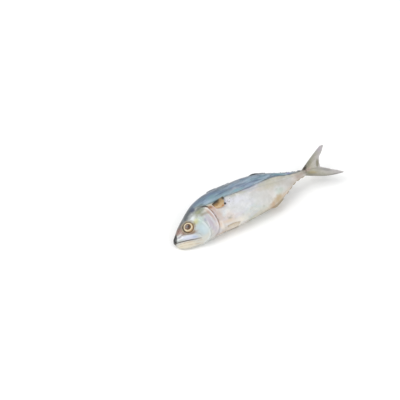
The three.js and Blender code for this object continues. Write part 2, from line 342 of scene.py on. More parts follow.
flank_share = step_at(np.abs(np.cos(turns)) - 0.12, 0.2) * nose
lift = (relief() + eye_relief() + keels()) * flank_share + soft_waves() * nose
body_points += out_of(body_points) * lift[..., None]
body_points[..., 2] += head_sag(ring_x)
print("deepest groove and highest plate, mm:", lift.min().round(2), lift.max().round(2))

# %% [markdown]
# ## Where the fish lies
# A limp fish is flat where it lies. Points that would be under the table are brought up to it,
# with a small rounded corner where the flat part begins. The right pectoral fin is under the
# fish, so the flank is hollowed a little there for it.

# %% Pressing the flank flat
# the upper and lower end of the root, then of the outer edge
PECTORAL = ((64.2, 13), (66.6, 5)), ((84, 14.5), (77, 3))
CORNER, POCKET_DEPTH = 0.5, 1.35


def inside_fin(x, y, margin):
    """1 well inside the pectoral fin's outline and 0 outside it."""
    (root, low_root), (edge, low_edge) = PECTORAL
    corners = np.array([root, edge, low_edge, low_root])
    inner = np.full(np.shape(x), 1e9)
    for (ax, ay), (bx, by) in zip(corners, np.roll(corners, -1, 0)):
        length = math.hypot(bx - ax, by - ay)
        inner = np.minimum(inner, -((bx - ax) * (y - ay) - (by - ay) * (x - ax)) / length)
    return step_at(inner + margin, margin)


body_table = to_table(body_points)
under = body_table[..., 2] * 1000
pocket = POCKET_DEPTH * inside_fin(flat_x, flat_y, 1.0) * (np.cos(turns) < 0)
body_table[..., 2] = (pocket + (under - pocket + np.hypot(under - pocket, CORNER)) / 2) / 1000
body_table[..., 2] = np.maximum(body_table[..., 2] - CORNER / 4000, 0)
print("lowest point of the skin, mm:", round(float(body_table[..., 2].min() * 1000), 3))

# %% [markdown]
# ## From a grid to a mesh
# A closed tube of rings needs a fan at each end. The grid's own distances along and around the
# fish make a tidy map for textures, and what the finishes need to know goes in attributes.

# %% Making a piece
def add_piece(name, points, faces, node_names, material):
    mesh = bpy.data.meshes.new(name)
    mesh.from_pydata([tuple(p) for p in points], [], faces)
    mesh.validate()
    mesh.update()
    mesh.polygons.foreach_set("use_smooth", [True] * len(mesh.polygons))
    piece = bpy.data.objects.new(name, mesh)
    bpy.context.scene.collection.objects.link(piece)
    mesh.materials.append(material)
    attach(piece, "root")
    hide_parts(*node_names)
    return piece


def note(piece, name, values):
    """Stores a value, or three, for each point of a mesh."""
    values = np.asarray(values, np.float32)
    kind, field = ("FLOAT_VECTOR", "vector") if values.shape[-1] == 3 else ("FLOAT", "value")
    attribute = piece.data.attributes.new(name, kind, "POINT")
    attribute.data.foreach_set(field, values.ravel())


def tube_faces(rings, count):
    faces = []
    for i in range(rings - 1):
        for j in range(count):
            k = (j + 1) % count
            faces.append((i * count + j, i * count + k, (i + 1) * count + k, (i + 1) * count + j))
    first, last = rings * count, rings * count + 1
    end = (rings - 1) * count
    for j in range(count):
        k = (j + 1) % count
        faces.append((k, j, first))
        faces.append((end + j, end + k, last))
    return faces


def closed(grid):
    """The points of a tube with the middle of each end added."""
    flat = grid.reshape(-1, grid.shape[-1])
    return np.vstack([flat, grid[0].mean(0), grid[-1].mean(0)])


# %% [markdown]
# # Finishes
# A finish is a small network of nodes. These helpers add one node each and join it to what it
# reads, so that a network can be written as a formula. Each takes a socket or a plain number.

# %% Helpers for nodes
def rgb(code):
    """A colour written as on a paint card, in the linear light that a shader uses."""
    parts = [int(code[i:i + 2], 16) / 255 for i in (0, 2, 4)]
    light = [c / 12.92 if c < 0.04045 else ((c + 0.055) / 1.055) ** 2.4 for c in parts]
    return (*light, 1.0)


def put(socket, value):
    if isinstance(value, bpy.types.NodeSocket):
        socket.id_data.links.new(value, socket)
    else:
        socket.default_value = value


def node(tree, kind, inputs=(), output=0, **settings):
    made = tree.nodes.new("ShaderNode" + kind)
    for name, value in settings.items():
        setattr(made, name, value)
    for name, value in dict(inputs).items():
        put(made.inputs[name], value)
    return made.outputs[output]


def tree_of(values):
    """The network that the sockets among these values are in."""
    return next(v.id_data for v in values if isinstance(v, bpy.types.NodeSocket))


def calc(operation, *values):
    return node(tree_of(values), "Math", dict(enumerate(values)), operation=operation)


def times(a, b):
    return calc("MULTIPLY", a, b)


def vector(operation, *values, output=0):
    inputs = dict(enumerate(values))
    return node(tree_of(values), "VectorMath", inputs, output, operation=operation)


def smooth(value, low, high, to_low=0.0, to_high=1.0):
    """An S-shaped rise from one value to another between low and high."""
    inputs = {"Value": value, "From Min": low, "From Max": high, "To Min": to_low,
              "To Max": to_high}
    return node(value.id_data, "MapRange", inputs, interpolation_type="SMOOTHSTEP")


def near(value, width, core=0.0):
    """1 where a value is close to 0, and 0 from that width on."""
    return smooth(calc("ABSOLUTE", value), width, core)


def mix(share, a, b, blend="MIX"):
    return node(share.id_data, "Mix", {0: share, 6: a, 7: b}, 2, data_type="RGBA",
                blend_type=blend, clamp_factor=True)


def glaze(colour, mask, strength, code):
    """A thin coat of one colour over another, where its mask is."""
    return mix(times(mask, strength), colour, rgb(code))


def stretch(place, along):
    """A place for a pattern that is drawn out along the fish."""
    return vector("MULTIPLY", place, (along, 1.0, 1.0))


def noise(place, scale=1.0, detail=2.0, roughness=0.5, distortion=0.0, output=0):
    inputs = {"Vector": place, "Scale": scale, "Detail": detail, "Roughness": roughness,
              "Distortion": distortion}
    return node(place.id_data, "TexNoise", inputs, output)


def bump(height, strength, distance):
    inputs = {"Height": height, "Strength": strength, "Distance": distance}
    return node(height.id_data, "Bump", inputs)


def read(tree, name, output="Vector"):
    return node(tree, "Attribute", output=output, attribute_name=name)


def ramp(value, stops):
    made = node(value.id_data, "ValToRGB", {0: value}).node
    band = made.color_ramp
    for i, (at, colour) in enumerate(stops):
        stop = band.elements[i] if i < 2 else band.elements.new(at)
        stop.position = at
        stop.color = rgb(colour)
    return made.outputs[0]


# %% [markdown]
# ## Groups that several finishes share
# A soft patch is a stain with a ragged edge at a place on the fish. Fish skin is a patchwork of
# them. Fin rays are the fine ribs of a fin. A wet film makes gloss uneven: it pools in places
# and dries in others. Each is one group, made once, and each finish gives it its own numbers.

# %% A group with named sockets
def group(name, inputs, outputs):
    tree = bpy.data.node_groups.new(name, "ShaderNodeTree")
    for label, default in inputs.items():
        kind = "Vector" if isinstance(default, tuple) else "Float"
        socket = tree.interface.new_socket(label, in_out="INPUT", socket_type="NodeSocket" + kind)
        socket.default_value = default
    for label in outputs:
        tree.interface.new_socket(label, in_out="OUTPUT", socket_type="NodeSocketFloat")
    return tree, tree.nodes.new("NodeGroupInput").outputs, tree.nodes.new("NodeGroupOutput").inputs


def use(made, **values):
    return node(tree_of(values.values()), "Group", values, node_tree=made).node.outputs


# %% The soft patch
soft_patch, given, out = group(
    "soft patch",
    {"Place": (0, 0, 0), "Centre": (0, 0, 0), "Radii": (1, 1, 1), "Lean": 0.0,
     "Ragged": 0.25, "Softness": 0.5}, ["Mask"])
flat = vector("MULTIPLY", given["Place"], (1, 1, 0))
off_centre = vector("SUBTRACT", flat, given["Centre"])
turned_place = node(soft_patch, "VectorRotate", {"Vector": off_centre, "Angle": given["Lean"]},
                    rotation_type="Z_AXIS")
reach = vector("LENGTH", vector("DIVIDE", turned_place, given["Radii"]), output="Value")
rag = calc("SUBTRACT", noise(given["Place"], 0.22, 3), 0.5)
reach = calc("MULTIPLY_ADD", rag, given["Ragged"], reach)
inner = calc("SUBTRACT", 1, given["Softness"])
put(out["Mask"], smooth(reach, inner, 1, 1, 0))


def patch_mask(place, centre, radii, lean, ragged, softness):
    """The lean is in degrees."""
    return use(soft_patch, Place=place, Centre=(*centre, 0), Radii=(*radii, 1),
               Lean=math.radians(-lean), Ragged=ragged, Softness=softness)["Mask"]


def stain(place, colour, centre, radii, lean, ragged, softness, code, strength):
    mask = patch_mask(place, centre, radii, lean, ragged, softness)
    return glaze(colour, mask, strength, code)


# %% The wet film
wet_film, given, out = group(
    "wet film", {"Place": (0, 0, 0), "Wet": 0.18, "Dry": 0.42}, ["Roughness"])
pools = noise(given["Place"], 0.09, 4, 0.55)
wetness = smooth(pools, 0.35, 0.62)
spread = calc("SUBTRACT", given["Dry"], given["Wet"])
dryness = calc("SUBTRACT", 1, wetness)
put(out["Roughness"], calc("MULTIPLY_ADD", dryness, spread, given["Wet"]))


def wet_look(shader, place, wet, dry, coat, coat_rough):
    """The film, between two roughnesses, and a clear coat over it."""
    film = use(wet_film, Place=place, Wet=wet, Dry=dry)
    put(shader["Roughness"], film["Roughness"])
    shader["Coat Weight"].default_value = coat
    shader["Coat Roughness"].default_value = coat_rough


# %% The fin rays
JOINTS = 150.0  # radians of the joint pattern from a ray's root to its tip
fin_rays, given, out = group("fin rays", {"Ray": (0, 0, 0), "Branching": 0.5}, ["Rib", "Joint"])
along, across, _ = node(fin_rays, "SeparateXYZ", {0: given["Ray"]}).node.outputs
single = calc("SINE", times(across, 2 * math.pi))
double = calc("SINE", times(across, 4 * math.pi))
fork = smooth(calc("SUBTRACT", along, given["Branching"]), -0.1, 0.15)
unforked = calc("SUBTRACT", 1, fork)
ribs = calc("ADD", times(single, unforked), times(double, fork))
put(out["Rib"], smooth(ribs, -0.6, 0.9))
joints = calc("SINE", times(along, JOINTS))
put(out["Joint"], smooth(joints, 0.4, 1))
print("shared groups:", [g.name for g in bpy.data.node_groups])

# %% [markdown]
# ## The skin
# A mackerel is steel blue on the back with fine dark lengthwise lines, silver on the flank and
# cream on the belly, with faint lilac, pink and mint tints where the silver breaks the light.
# The ground is a ramp from belly to back. Streaks, patches and lines are laid over it one after
# another, as thin glazes would be. An image could hold all of this, but nodes keep the lines
# crisp at any distance, and each glaze can be changed on its own.

# %% Ground colours of the skin
def new_material(name):
    made = bpy.data.materials.new(name)
    made.use_nodes = True
    return made, made.node_tree, made.node_tree.nodes["Principled BSDF"].inputs


skin, tree, shader = new_material("wet mackerel skin")
place_mm = read(tree, "fish")
flat_place = vector("MULTIPLY", place_mm, (1, 1, 0))
x_mm, y_mm, _ = node(tree, "SeparateXYZ", {0: place_mm}).node.outputs
share = read(tree, "share", "Fac")
slow = noise(place_mm, 0.035, 2)
level = calc("ADD", share, calc("MULTIPLY_ADD", slow, 0.1, -0.05))
flank = ramp(level, [
    (0, "b5a389"), (0.03, "cbc3b3"), (0.1, "d5d2cb"), (0.28, "d0d1d2"), (0.42, "cccdcd"),
    (0.54, "c2c2bf"), (0.62, "afb0aa"), (0.7, "a9aaa3")])

# %% [markdown]
# ## The blue back
# The blue has a clear lower edge, a dark line with a greenish margin under it. Above the edge the
# bands follow it, so they are coloured by the distance from it: light, then steel blue, then
# slate towards the ridge. Streaks are noise that is stretched along the fish, so they lie
# lengthwise, and finer broken lines lie over them.

# %% Bands and streaks of the back
BLUE_DEPTH = 22.0  # from its lower edge to the ridge, at the thickest part of the fish
ripple = noise(stretch(place_mm, 0.12), 0.3, 2)
over_edge = calc("ADD", read(tree, "blue", "Fac"), calc("MULTIPLY_ADD", ripple, 2.4, -1.2))
bands = ramp(calc("DIVIDE", over_edge, BLUE_DEPTH), [
    (0, "82949c"), (0.1, "8b9fab"), (0.22, "7b8fa4"), (0.36, "687d96"), (0.52, "708496"),
    (0.68, "677b8d"), (0.84, "69757f"), (1, "4c5359")])
on_back = smooth(over_edge, -0.7, 0.7)
stretched = stretch(place_mm, 0.08)
streaks = noise(stretched, 0.26, 4, 0.6, 0.4)
hue = noise(stretch(place_mm, 0.35), 0.09, 2)
fine = noise(stretch(place_mm, 0.07), 1.1, 3, 0.6)
back = bands
for pattern, low_end, high_end, strength, code in [
    (streaks, 0.5, 0.6, 0.72, "46596f"), (streaks, 0.48, 0.38, 0.62, "9db0c0"),
    (hue, 0.5, 0.66, 0.35, "6482ab"), (hue, 0.48, 0.34, 0.4, "74989f"),
    (fine, 0.54, 0.66, 0.5, "3d4a5a"), (share, 0.86, 0.985, 0.7, "434e59"),
]:
    back = glaze(back, smooth(pattern, low_end, high_end), strength, code)
colour = mix(on_back, flank, back)
patchy = smooth(noise(stretched, 0.25, 2), 0.34, 0.58, 0.35, 1)
under_line = near(calc("ADD", over_edge, 2.8), 2.6, 0.3)
colour = glaze(colour, under_line, 0.55, "adb09c")
colour = glaze(colour, times(near(over_edge, 1.3, 0.2), patchy), 0.85, "515d5f")

# %% Tints where the silver breaks the light
tint = noise(stretch(place_mm, 0.5), 0.055, 3, 0.5, 0, "Color")
lilac, mint, pink = node(tree, "SeparateColor", {0: tint}).node.outputs
cloud = noise(place_mm, 0.14, 4, 0.6)
for pattern, low_end, high_end, over_back, code, strength in [
    (lilac, 0.49, 0.66, 0.25, "c3c3dc", 0.45), (mint, 0.49, 0.66, 0.25, "b9d0c6", 0.4),
    (pink, 0.49, 0.66, 0.25, "dfc8b6", 0.42), (cloud, 0.5, 0.72, 0.2, "a39e92", 0.42),
    (cloud, 0.5, 0.3, 0.2, "f2f0eb", 0.36),
]:
    mask = times(smooth(pattern, low_end, high_end), smooth(on_back, 0, 1, 1, over_back))
    colour = glaze(colour, mask, strength, code)

# %% [markdown]
# ## Patches
# Each row is one glaze: where it is, how large, how it leans, its colour and how much of it
# shows. The stalk is warm grey, the rear belly has a golden tinge, the flesh behind the gill
# cover is peach, and the cheek is a pale mint with an olive stain above it. Some rows are painted
# light and shade: a highlight over the eye, a shine on the cheek, light on the cream of the
# front belly and shade on the front of the snout tip.

# %% Patches of the skin
PATCHES = [
    # name, centre, radii, lean in degrees, ragged, softness, colour, strength
    ("dull middle", (132, -7), (30, 17), -6, 0.8, 1, "c2c1bd", 0.8),
    ("beige rear", (150, 0), (28, 10), -8, 0.8, 1, "bbb6a4", 0.9),
    ("warm rear", (172, -7), (28, 13), -14, 0.7, 1, "b6b1aa", 0.85),
    ("mint rear", (157, -12), (12, 7), -10, 0.9, 1, "b6bfb3", 0.6),
    ("stalk", (200, -3), (20, 10), 0, 0.6, 1, "9f988b", 0.85),
    ("stalk top", (198, 0.6), (11, 2.8), -12, 0.6, 0.9, "5a5a52", 0.9),
    ("pink stalk", (192, -5.5), (13, 5.6), -8, 0.6, 1, "a38e83", 0.7),
    ("tail root", (208, -4.5), (10, 9), 0, 0.8, 0.9, "928c7e", 0.95),
    ("tail root top", (206, 0.8), (7, 2.4), 22, 0.8, 1, "61504b", 0.85),
    ("keel spot", (204.6, -3), (3.6, 1.4), 0, 0.8, 1, "cbbab3", 0.7),
    ("golden belly", (149, -20), (17, 7), 14, 0.9, 1, "bba27a", 0.9),
    ("orange belly", (139, -22.6), (8, 3.6), 8, 0.9, 1, "b98c62", 0.5),
    ("lilac flank", (97, 2), (20, 10), -10, 0.8, 1, "dedfe9", 0.7),
    # partly the belly's own cream, partly painted light: it lifts the front of the belly, which
    # faces down and would be in shade
    ("cream belly and painted light", (86, -21), (26, 6), 0, 0.7, 1, "f0e7da", 0.85),
    ("grey smudge", (76.5, -13), (4.4, 2.4), -10, 0.9, 1, "96958a", 0.7),
    ("teal back", (104, 14), (12, 3.4), -8, 0.8, 1, "76a0ab", 0.85),
    ("teal nape", (70, 22), (13, 6), -4, 0.8, 1, "769699", 0.7),
    ("teal rear", (168, 9), (13, 3), -28, 0.8, 1, "67909a", 0.8),
    ("violet rear", (181, 4.4), (5.4, 2), -24, 0.8, 0.9, "837eb2", 0.8),
    ("peach flesh", (66, -2), (6, 14), 10, 0.9, 1, "c0a28e", 0.6),
    ("pink shoulder", (64, 8.5), (6.5, 6), 0, 0.8, 1, "c2a090", 0.75),
    ("peach streak", (74, -15.5), (15, 3.6), -12, 0.9, 1, "dcc6ae", 0.75),
    ("head", (20, -2), (38, 38), 0, 0.2, 0.25, "bfc4c1", 0.95),
    ("throat", (36, -18), (26, 7), 4, 0.5, 1, "dbd7ca", 0.95),
    ("lower jaw", (12, -14), (18, 5.2), -20, 0.3, 0.6, "e2d9c4", 0.95),
    ("cheek", (38, -8), (12, 14), 6, 0.6, 1, "bccfd5", 0.95),
    # painted highlight: a paler bluish shine on the cheek plate
    ("painted shine on the cheek", (41, -10), (6, 9), 8, 0.8, 1, "d2dfe3", 0.6),
    ("mint cheek", (41, 2.6), (8, 8), 0, 0.8, 1, "b6cec6", 0.85),
    ("brow", (16.5, 11.6), (14, 6.5), 46, 0.5, 0.7, "6a625d", 0.95),
    ("grey temple", (45, 15.5), (15, 7.5), 18, 0.6, 0.9, "5d6464", 1),
    ("crown", (33, 20.5), (28, 9.5), 38, 0.7, 0.8, "4b5257", 0.98),
    ("crown blue", (41, 20.6), (6.4, 4.6), 34, 0.7, 0.9, "38415a", 0.9),
    ("nape blue", (50, 28), (16, 6), 24, 1.2, 1, "5d6f83", 0.8),
    ("snout top", (8.5, 7.4), (6, 3.6), 50, 0.8, 0.9, "6b574f", 0.9),
    ("snout", (12, 4.8), (8.4, 6.2), 36, 0.7, 0.8, "7c5b50", 0.9),
    ("snout lilac", (8.5, -1.4), (5, 2.8), -20, 0.6, 0.9, "9b94a2", 0.85),
    # painted highlight: a pale patch over the eye where the wet skin catches the light
    ("painted highlight over the eye", (34, 10.4), (7.4, 3), 22, 0.8, 1, "c3cacc", 0.85),
    ("yellow behind the eye", (35, 4), (8, 5), 10, 0.8, 1, "bcbb84", 0.85),
    ("olive stain", (44.5, 12.6), (10.5, 6.2), 8, 1, 1, "7c8060", 0.9),
    ("olive streak", (49, 7.4), (10, 3.6), -14, 0.9, 1, "857e60", 0.85),
    ("cheek fleck", (46.6, 0.2), (2.4, 3.2), 0, 0.9, 0.9, "9399b0", 0.7),
    ("below the eye", (24.4, -5), (10.5, 3.2), -12, 0.8, 0.9, "8c6853", 0.85),
    ("before the eye", (14.8, 0.8), (4.4, 6.6), 0, 0.8, 0.9, "7b5748", 0.85),
    ("upper jaw", (19, -8.8), (14.6, 4.2), -25, 0.4, 0.6, "d3d6e4", 0.95),
    ("upper jaw blue", (25, -11), (6, 2.2), -25, 0.9, 1, "a9b8d2", 0.7),
    ("lilac margin", (51.2, -6), (5.2, 19), 6, 0.6, 0.9, "c0b9c6", 0.9),
    ("rose margin", (56.4, 2), (3, 13), 14, 0.8, 0.9, "b9988a", 0.8),
    ("cream shoulder", (62.6, -15), (4.6, 7), 16, 0.7, 0.9, "f2e8da", 1),
    ("shoulder brown", (61, 11), (4.8, 3.2), -40, 0.7, 0.9, "88592f", 0.9),
    ("shoulder dark", (54.8, 15.4), (7, 2.3), -30, 0.6, 0.7, "2f2b22", 0.95),
    # near black: partly the dark skin of the upper jaw's tip, partly painted shade on the snout's
    # front face
    ("dark snout tip and painted shade", (2.4, -0.2), (9.2, 3.7), 55, 0.5, 0.45, "10120f", 0.98),
]
for name, *patch in PATCHES:
    colour = stain(place_mm, colour, *patch)
print("patches:", len(PATCHES))

# %% The lid round the eye
from_eye = vector("SUBTRACT", flat_place, (*EYE, 0))
to_eye = vector("LENGTH", from_eye, output="Value")
lid = near(calc("SUBTRACT", to_eye, EYE_RADIUS + 0.7), 2, 0.3)
lid_ragged = smooth(noise(place_mm, 0.25, 2), 0.35, 0.6, 0.4, 1)
colour = glaze(colour, times(lid, lid_ragged), 0.8, "8f7c5e")

# %% [markdown]
# ## Lines and spots
# The same distances that shaped the head now colour it: painted shade in the crease of the mouth,
# brown in the gill slit, bright on the cheek's edge. Fine streaks on the gill cover run along its
# edge. One round black spot sits behind the pectoral fin, with a few specks round it. Along the
# belly's edge a dark line is partly its brown edge and partly a painted contact shadow.

# %% Streaks of the gill cover
gill_away = read(tree, "gill", "Fac")
along_gill = node(tree, "CombineXYZ", {0: gill_away, 1: times(y_mm, 0.16)})
cover_streaks = noise(along_gill, 0.4, 3)
on_cover = times(smooth(gill_away, 0.2, 2), smooth(read(tree, "cheek", "Fac"), 1, -1))
on_cover = times(on_cover, smooth(y_mm, 12, 3))
for low_end, high_end, code in [(0.5, 0.66, "b5a3a8"), (0.48, 0.34, "ebe6ea")]:
    mask = times(smooth(cover_streaks, low_end, high_end), on_cover)
    colour = glaze(colour, mask, 0.4, code)

# %% Lines of the head
broken = smooth(noise(place_mm, 0.22, 3), 0.36, 0.62, 0.15, 1)
jaw_part = smooth(x_mm, 35, 30)
lip_part = times(jaw_part, broken)
past_tip = times(lip_part, smooth(x_mm, 3.5, 6.5))
cheek_part = times(broken, smooth(y_mm, 9, 3))
gill_part = times(smooth(y_mm, 17, 12), smooth(y_mm, -20, -14))
gill_broken = times(gill_part, broken)
gill_upper = times(gill_part, smooth(y_mm, -12, 8, 0.2))
nape_part = times(broken, smooth(share, 0.96, 0.8))
HEAD_LINES = [
    # line, distance from it, half of the width, where it shows, colour, strength
    # painted shade: the crease of the closed mouth is near black, with a softer dark band along it
    ("mouth", -0.2, 1.1, smooth(x_mm, 30, 17), "33271f", 0.92),
    ("mouth", -0.2, 1.3, jaw_part, "7d6e62", 0.5),
    ("mouth", -2.2, 1.4, lip_part, "b79b84", 0.6),
    ("mouth", -5.2, 1.2, lip_part, "c7b49a", 0.6),
    ("jaw", 0.2, 0.9, past_tip, "8a8592", 0.5),
    ("cheek", 0.9, 2, cheek_part, "e4ecec", 0.55),
    ("cheek", -0.8, 1, cheek_part, "9aa9ad", 0.5),
    ("gill", -1, 1.8, gill_broken, "9c6d4c", 0.65),
    ("gill", -0.6, 1, gill_upper, "8a4f2a", 0.6),
    ("gill", -3.6, 2.2, gill_broken, "bd8f74", 0.4),
    ("gill", 1.2, 1.1, gill_part, "ece3e8", 0.5),
    ("plate", 0, 1.1, broken, "aaa4ae", 0.3),
    ("nape", 0, 1.2, nape_part, "39424e", 0.8),
    ("lateral", 0, 0.7, smooth(x_mm, 84, 92), "9aa09c", 0.35),
]
for line, at, width, where, code, strength in HEAD_LINES:
    stripe = near(calc("SUBTRACT", read(tree, line, "Fac"), at), width)
    colour = glaze(colour, times(stripe, where), strength, code)
print("painted lines:", len(HEAD_LINES))

# %% Spots and specks
SPOT, SPECKS_ROUND = (79.8, 5.4), (86.5, 5)
dots = node(tree, "TexVoronoi", {"Vector": flat_place, "Scale": 0.5, "Randomness": 1.0},
            feature="F1")
near_spot = patch_mask(place_mm, SPECKS_ROUND, (8, 6), 0, 0.8, 0.5)
specks = times(smooth(dots, 0.36, 0.14), near_spot)
colour = glaze(colour, specks, 0.75, "55524a")
colour = stain(place_mm, colour, SPOT, (2.1, 2), 0, 0.3, 0.5, "191a18", 0.95)
# partly the belly's brown edge, partly a painted contact shadow where the belly meets the table
belly_edge_and_contact_shadow = times(smooth(share, 0.012, 0), smooth(x_mm, 84, 124))
colour = glaze(colour, belly_edge_and_contact_shadow, 0.5, "7a6853")

# %% [markdown]
# ## Scales and shine
# Mackerel scales are about a millimetre across, so they show as a fine grain that lies in rows.
# A Voronoi pattern squeezed along the fish gives the overlapping rows. It only feeds the bump,
# because scales this small don't change the outline.

# %% Scales, wet film and the shader
SCALE_SIZE = 1.3
cells = node(tree, "TexVoronoi", {"Vector": stretch(place_mm, 0.8),
                                  "Scale": 1 / SCALE_SIZE, "Randomness": 0.55}, feature="F1")
off_head = smooth(x_mm, 54, 70, 0.15, 1)
height = times(smooth(cells, 0.75, 0.1), off_head)
height = calc("ADD", height, times(noise(place_mm, 0.5, 4), 0.6))
put(shader["Base Color"], colour)
put(shader["Metallic"], smooth(level, 0.05, 0.3, 0, 0.1))
put(shader["Normal"], bump(height, 0.22, 0.00025))
wet_look(shader, place_mm, 0.28, 0.5, 0.22, 0.16)
print("skin nodes:", len(tree.nodes))

# %% The body
rings = len(ring_x)
body = add_piece("body", closed(body_table), tube_faces(rings, AROUND), ["body"], skin)
note(body, "fish", closed(together(flat_x, flat_y, body_points[..., 2])))
depth_share = (flat_y - belly_outline(ring_x)) / (back_outline(ring_x) - belly_outline(ring_x))
for name, value in {"share": depth_share, **away}.items():
    note(body, name, closed(value[..., None])[:, 0])


def lay_map(piece, rings, count):
    """A map with the distance along the fish one way and the turn round it the other way."""
    layer = piece.data.uv_layers.new(name="OFBake")
    for face in piece.data.polygons:
        corner = [piece.data.loops[i].vertex_index for i in face.loop_indices]
        inner = [v for v in corner if v < rings * count]
        wraps = {0, count - 1} <= {v % count for v in inner}
        turn = [1.0 if wraps and v % count == 0 else (v % count) / count for v in inner]
        for i, v in zip(face.loop_indices, corner):
            if v < rings * count:
                layer.data[i].uv = (0.01 + 0.98 * (v // count) / rings, turn[inner.index(v)])
            else:
                layer.data[i].uv = (0.0 if v == rings * count else 1.0, sum(turn) / len(turn))


lay_map(body, rings, AROUND)
print("body faces:", len(body.data.polygons))

# %% [markdown]
# ## Eyes
# A fish's eye is a flattened ball under a clear, slightly domed cornea. Seen from outside it is a
# set of rings: a dark pupil, a bronze iris, a broad cream ring and a thin dark rim. It could be a
# scaled ball, but here it is turned on a lathe, so its front can be a low dome with a rounded
# edge. The rings are painted by the distance from the middle, and a clear coat is the wet shine.

# %% The finish of an eye
PUPIL = (-1.6, 0.9, 0)  # its place from the middle of the eye
eye_finish, tree, shader = new_material("fish eye")
spot_on_eye = read(tree, "eye")
uneven = calc("SUBTRACT", noise(spot_on_eye, 0.3, 2), 0.5)


def from_centre(centre):
    """Distance across the eye from a centre, a little uneven."""
    off = vector("MULTIPLY", vector("SUBTRACT", spot_on_eye, centre), (1, 1, 0))
    return calc("ADD", vector("LENGTH", off, output="Value"), uneven)


ring_place = calc("DIVIDE", from_centre(PUPIL), 8)
rings_colour = ramp(ring_place, [
    (0, "140d0a"), (0.14, "20140e"), (0.25, "5c3a25"), (0.36, "66442e"), (0.43, "3c281b"),
    (0.485, "80634a"), (0.53, "d3c19c"), (0.63, "e0d5b7"), (0.72, "c3a97f"), (0.84, "97754e")])
rim = smooth(from_centre((0, 0, 0)), 6.3, 7.2)
put(shader["Base Color"], mix(rim, rings_colour, rgb("5b4430")))
wet_look(shader, spot_on_eye, 0.2, 0.3, 0.4, 0.09)
print("eye nodes:", len(tree.nodes))

# %% Turning the eyes
EYE_HALF, EYE_AROUND = 4.6, 64
EYE_STANDS = {1: 1.3, -1: -0.6}  # the right eye is pressed in by the table
eye_profile = np.array([
    (0.02, 4.95), (1.2, 4.9), (2.6, 4.68), (3.9, 4.3), (4.8, 3.92), (5.4, 3.55), (5.8, 3.1),
    (6.4, 2.5), (6.95, 1.75), (7.3, 0.9), (7.4, 0.0), (7.1, -1.3), (6.2, -2.5), (4.4, -3.7),
    (2.2, -4.4), (0.02, -4.6)])
angle = np.arange(EYE_AROUND) / EYE_AROUND * 2 * math.pi
for side, name in ((1, "left_eye"), (-1, "right_eye")):
    point, out = on_flank(side, *EYE)
    centre = point + out * (EYE_STANDS[side] - EYE_HALF)
    basis = np.array(Vector((0, 0, 1)).rotation_difference(Vector(out)).to_matrix())
    wide, deep = eye_profile[:, :1], eye_profile[:, 1:]
    local = together(wide * np.cos(angle), wide * np.sin(angle), deep)
    if side > 0:
        local = local[:, ::-1]
    on_fish = local @ basis.T + centre
    eye = add_piece(name, closed(to_table(on_fish)), tube_faces(len(local), EYE_AROUND), [name],
                    eye_finish)
    if side < 0:
        eye.data.flip_normals()
    note(eye, "eye", closed(on_fish - centre))
    subdivide = eye.modifiers.new("round", "SUBSURF")
    subdivide.levels = subdivide.render_levels = 1
print("eye rings and points around:", len(eye_profile), EYE_AROUND)

# %% [markdown]
# ## Fins
# A fin is a thin skin stretched over bony rays. The rays fan out from the root and split towards
# the edge. A grid that runs along the rays one way and from ray to ray the other way can be
# thick at each ray and thin between them, and it wears into a slightly ragged edge.

# %% A fin from its surface
RIB_DEPTH, EDGE_THINNING = 0.38, 0.72


def fin_grid(surface, rays, steps, thickness, fineness=4, ragged=0.0):
    """surface(u, v) gives points and the way across the fin: u is along a ray, v across them."""
    u = np.linspace(0, 1, steps + 1)[None, :]
    v = np.linspace(0, 1, rays * fineness + 1)[:, None]
    ray = v * rays
    reach = 1 - ragged * (0.5 + 0.5 * np.sin(ray * 2.1) * np.sin(ray * 0.73 + 1.0)) * (u > 0.5)
    points, across = surface(u * reach, v)
    ribs = 1 - RIB_DEPTH + RIB_DEPTH * np.cos(ray * 2 * math.pi)
    taper = 1 - EDGE_THINNING * u ** 1.5
    half = thickness / 2 * ribs * taper * np.minimum(1, 0.25 + np.minimum(v, 1 - v) * rays)
    top = points + across * half[..., None]
    bottom = points - across * half[..., None]
    grid = np.concatenate([top, bottom[:, ::-1]], 1)
    shared = together(u, ray, 0)
    return grid, np.concatenate([shared, shared[:, ::-1]], 1)


def volume(points, faces):
    p = np.asarray(points)
    tri = np.array([(f[0], f[i], f[i + 1]) for f in faces for i in range(1, len(f) - 1)])
    return np.einsum("ij,ij->i", p[tri[:, 0]], np.cross(p[tri[:, 1]], p[tri[:, 2]])).sum()


def add_fin(name, grid, rays, material):
    points = closed(to_table(grid))
    faces = tube_faces(*grid.shape[:2])
    if volume(points, faces) < 0:
        faces = [tuple(reversed(f)) for f in faces]
    fin = add_piece(name, points, faces, [name], material)
    note(fin, "ray", closed(rays))
    note(fin, "fish", closed(grid))
    note(fin, "back_share", closed(rays)[:, 1] / rays[..., 1].max())
    return fin


def lerp(a, b, t):
    return a + (b - a) * t


# %% [markdown]
# ## Finish of the fins
# The skin of a real fin lets some light through, so its colour changes with what is behind it,
# and the rays are darker lines in it. A shader could let light through too, but these fins lie on
# the fish or the table, so they are opaque, and the colours are painted: a row of them from the
# leading ray back, one for the edge, one for the ribs and, on some fins, soft patches. The tail
# is smoky grey, the second back fin slate, the folded fin and the finlets grey blue, the belly
# fins cream, and the pectoral fins golden brown with a black leading edge.

